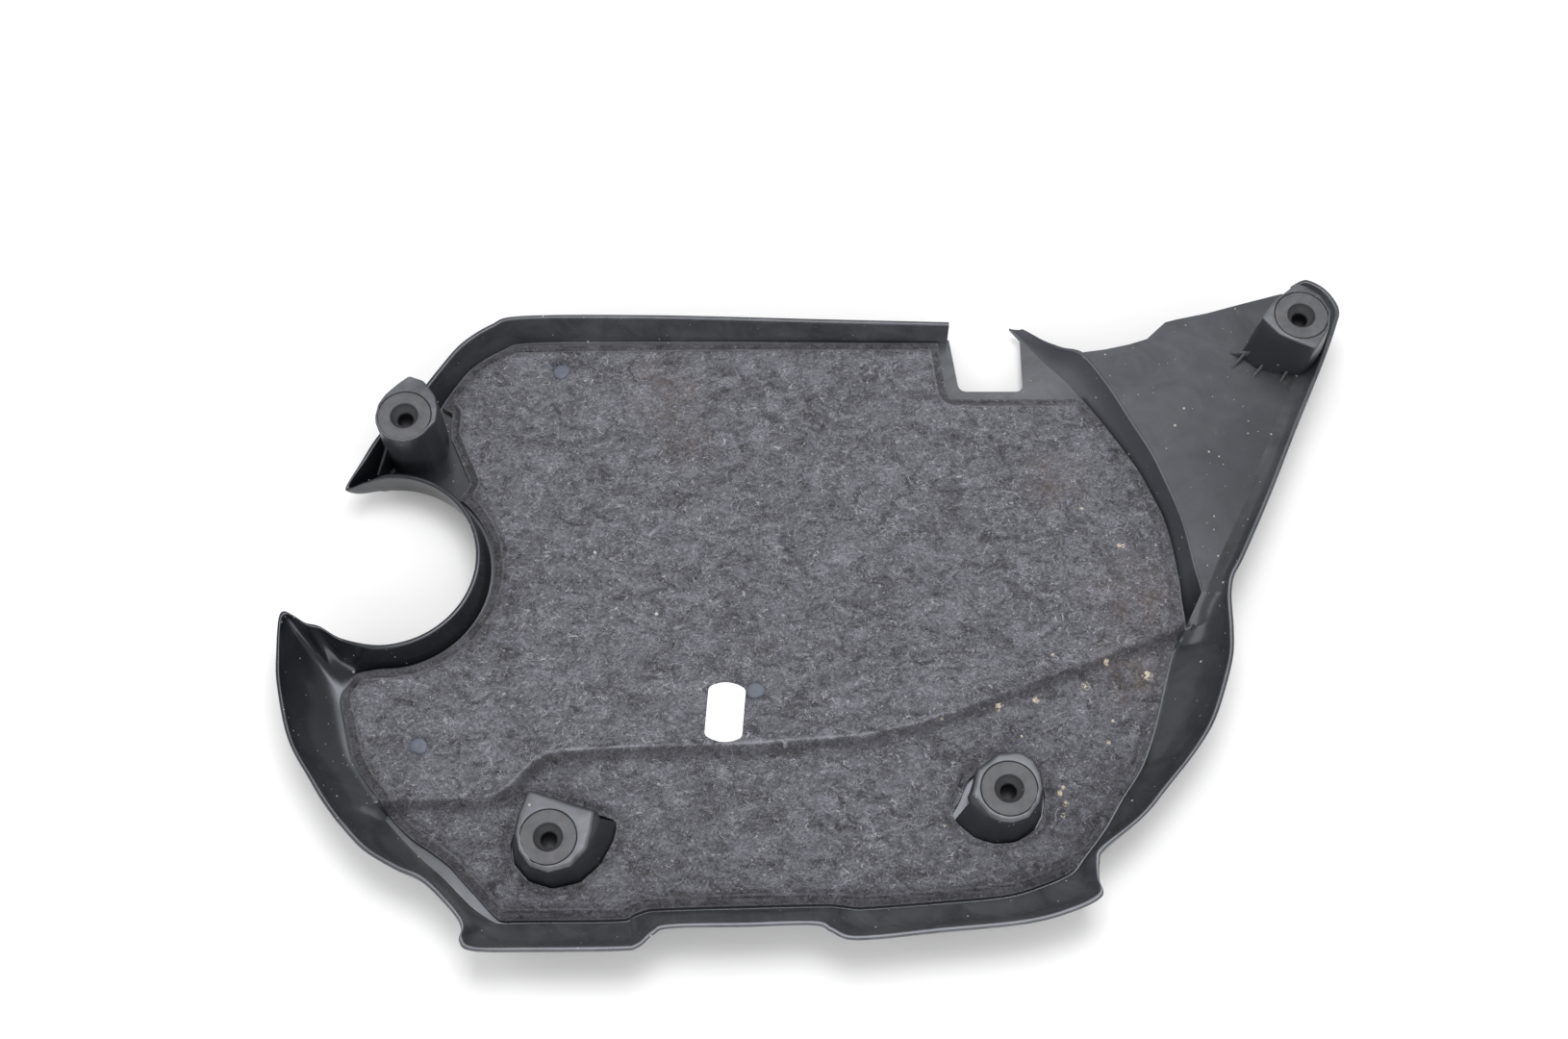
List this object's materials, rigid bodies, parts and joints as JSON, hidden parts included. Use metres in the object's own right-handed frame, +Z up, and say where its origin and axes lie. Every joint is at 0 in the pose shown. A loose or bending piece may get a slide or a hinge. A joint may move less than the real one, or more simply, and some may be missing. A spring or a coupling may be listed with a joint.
{
  "type": "engine cover",
  "caption": "Moulded engine cover, engine side up: a shell with a skirt, a round cut-out, a notch, a wing and grommet towers, lined with a felt sound pad",
  "frame": {"origin": "centre of the footprint, on the surface that the show face lies on", "axes": "+X along the cover towards the wing, +Y across it towards the notched edge, +Z up from the show face to the engine side"},
  "size_m": [0.543, 0.36, 0.057],
  "materials": {
    "moulded_shell": "black moulded polyamide, satin gloss, dusty and scuffed on the wing and the skirt",
    "needle_felt": "grey heather needle felt, with a pressed border",
    "grommet_rubber": "matt black rubber",
    "label_film": "white film label, bare"
  },
  "bodies": {
    "root": {"cover_shell": "moulded_shell", "felt_pad": "needle_felt", "grommet_horn": "grommet_rubber", "grommet_wing": "grommet_rubber", "grommet_front_left": "grommet_rubber", "grommet_front_right": "grommet_rubber", "label": "label_film"}
  },
  "joints": []
}
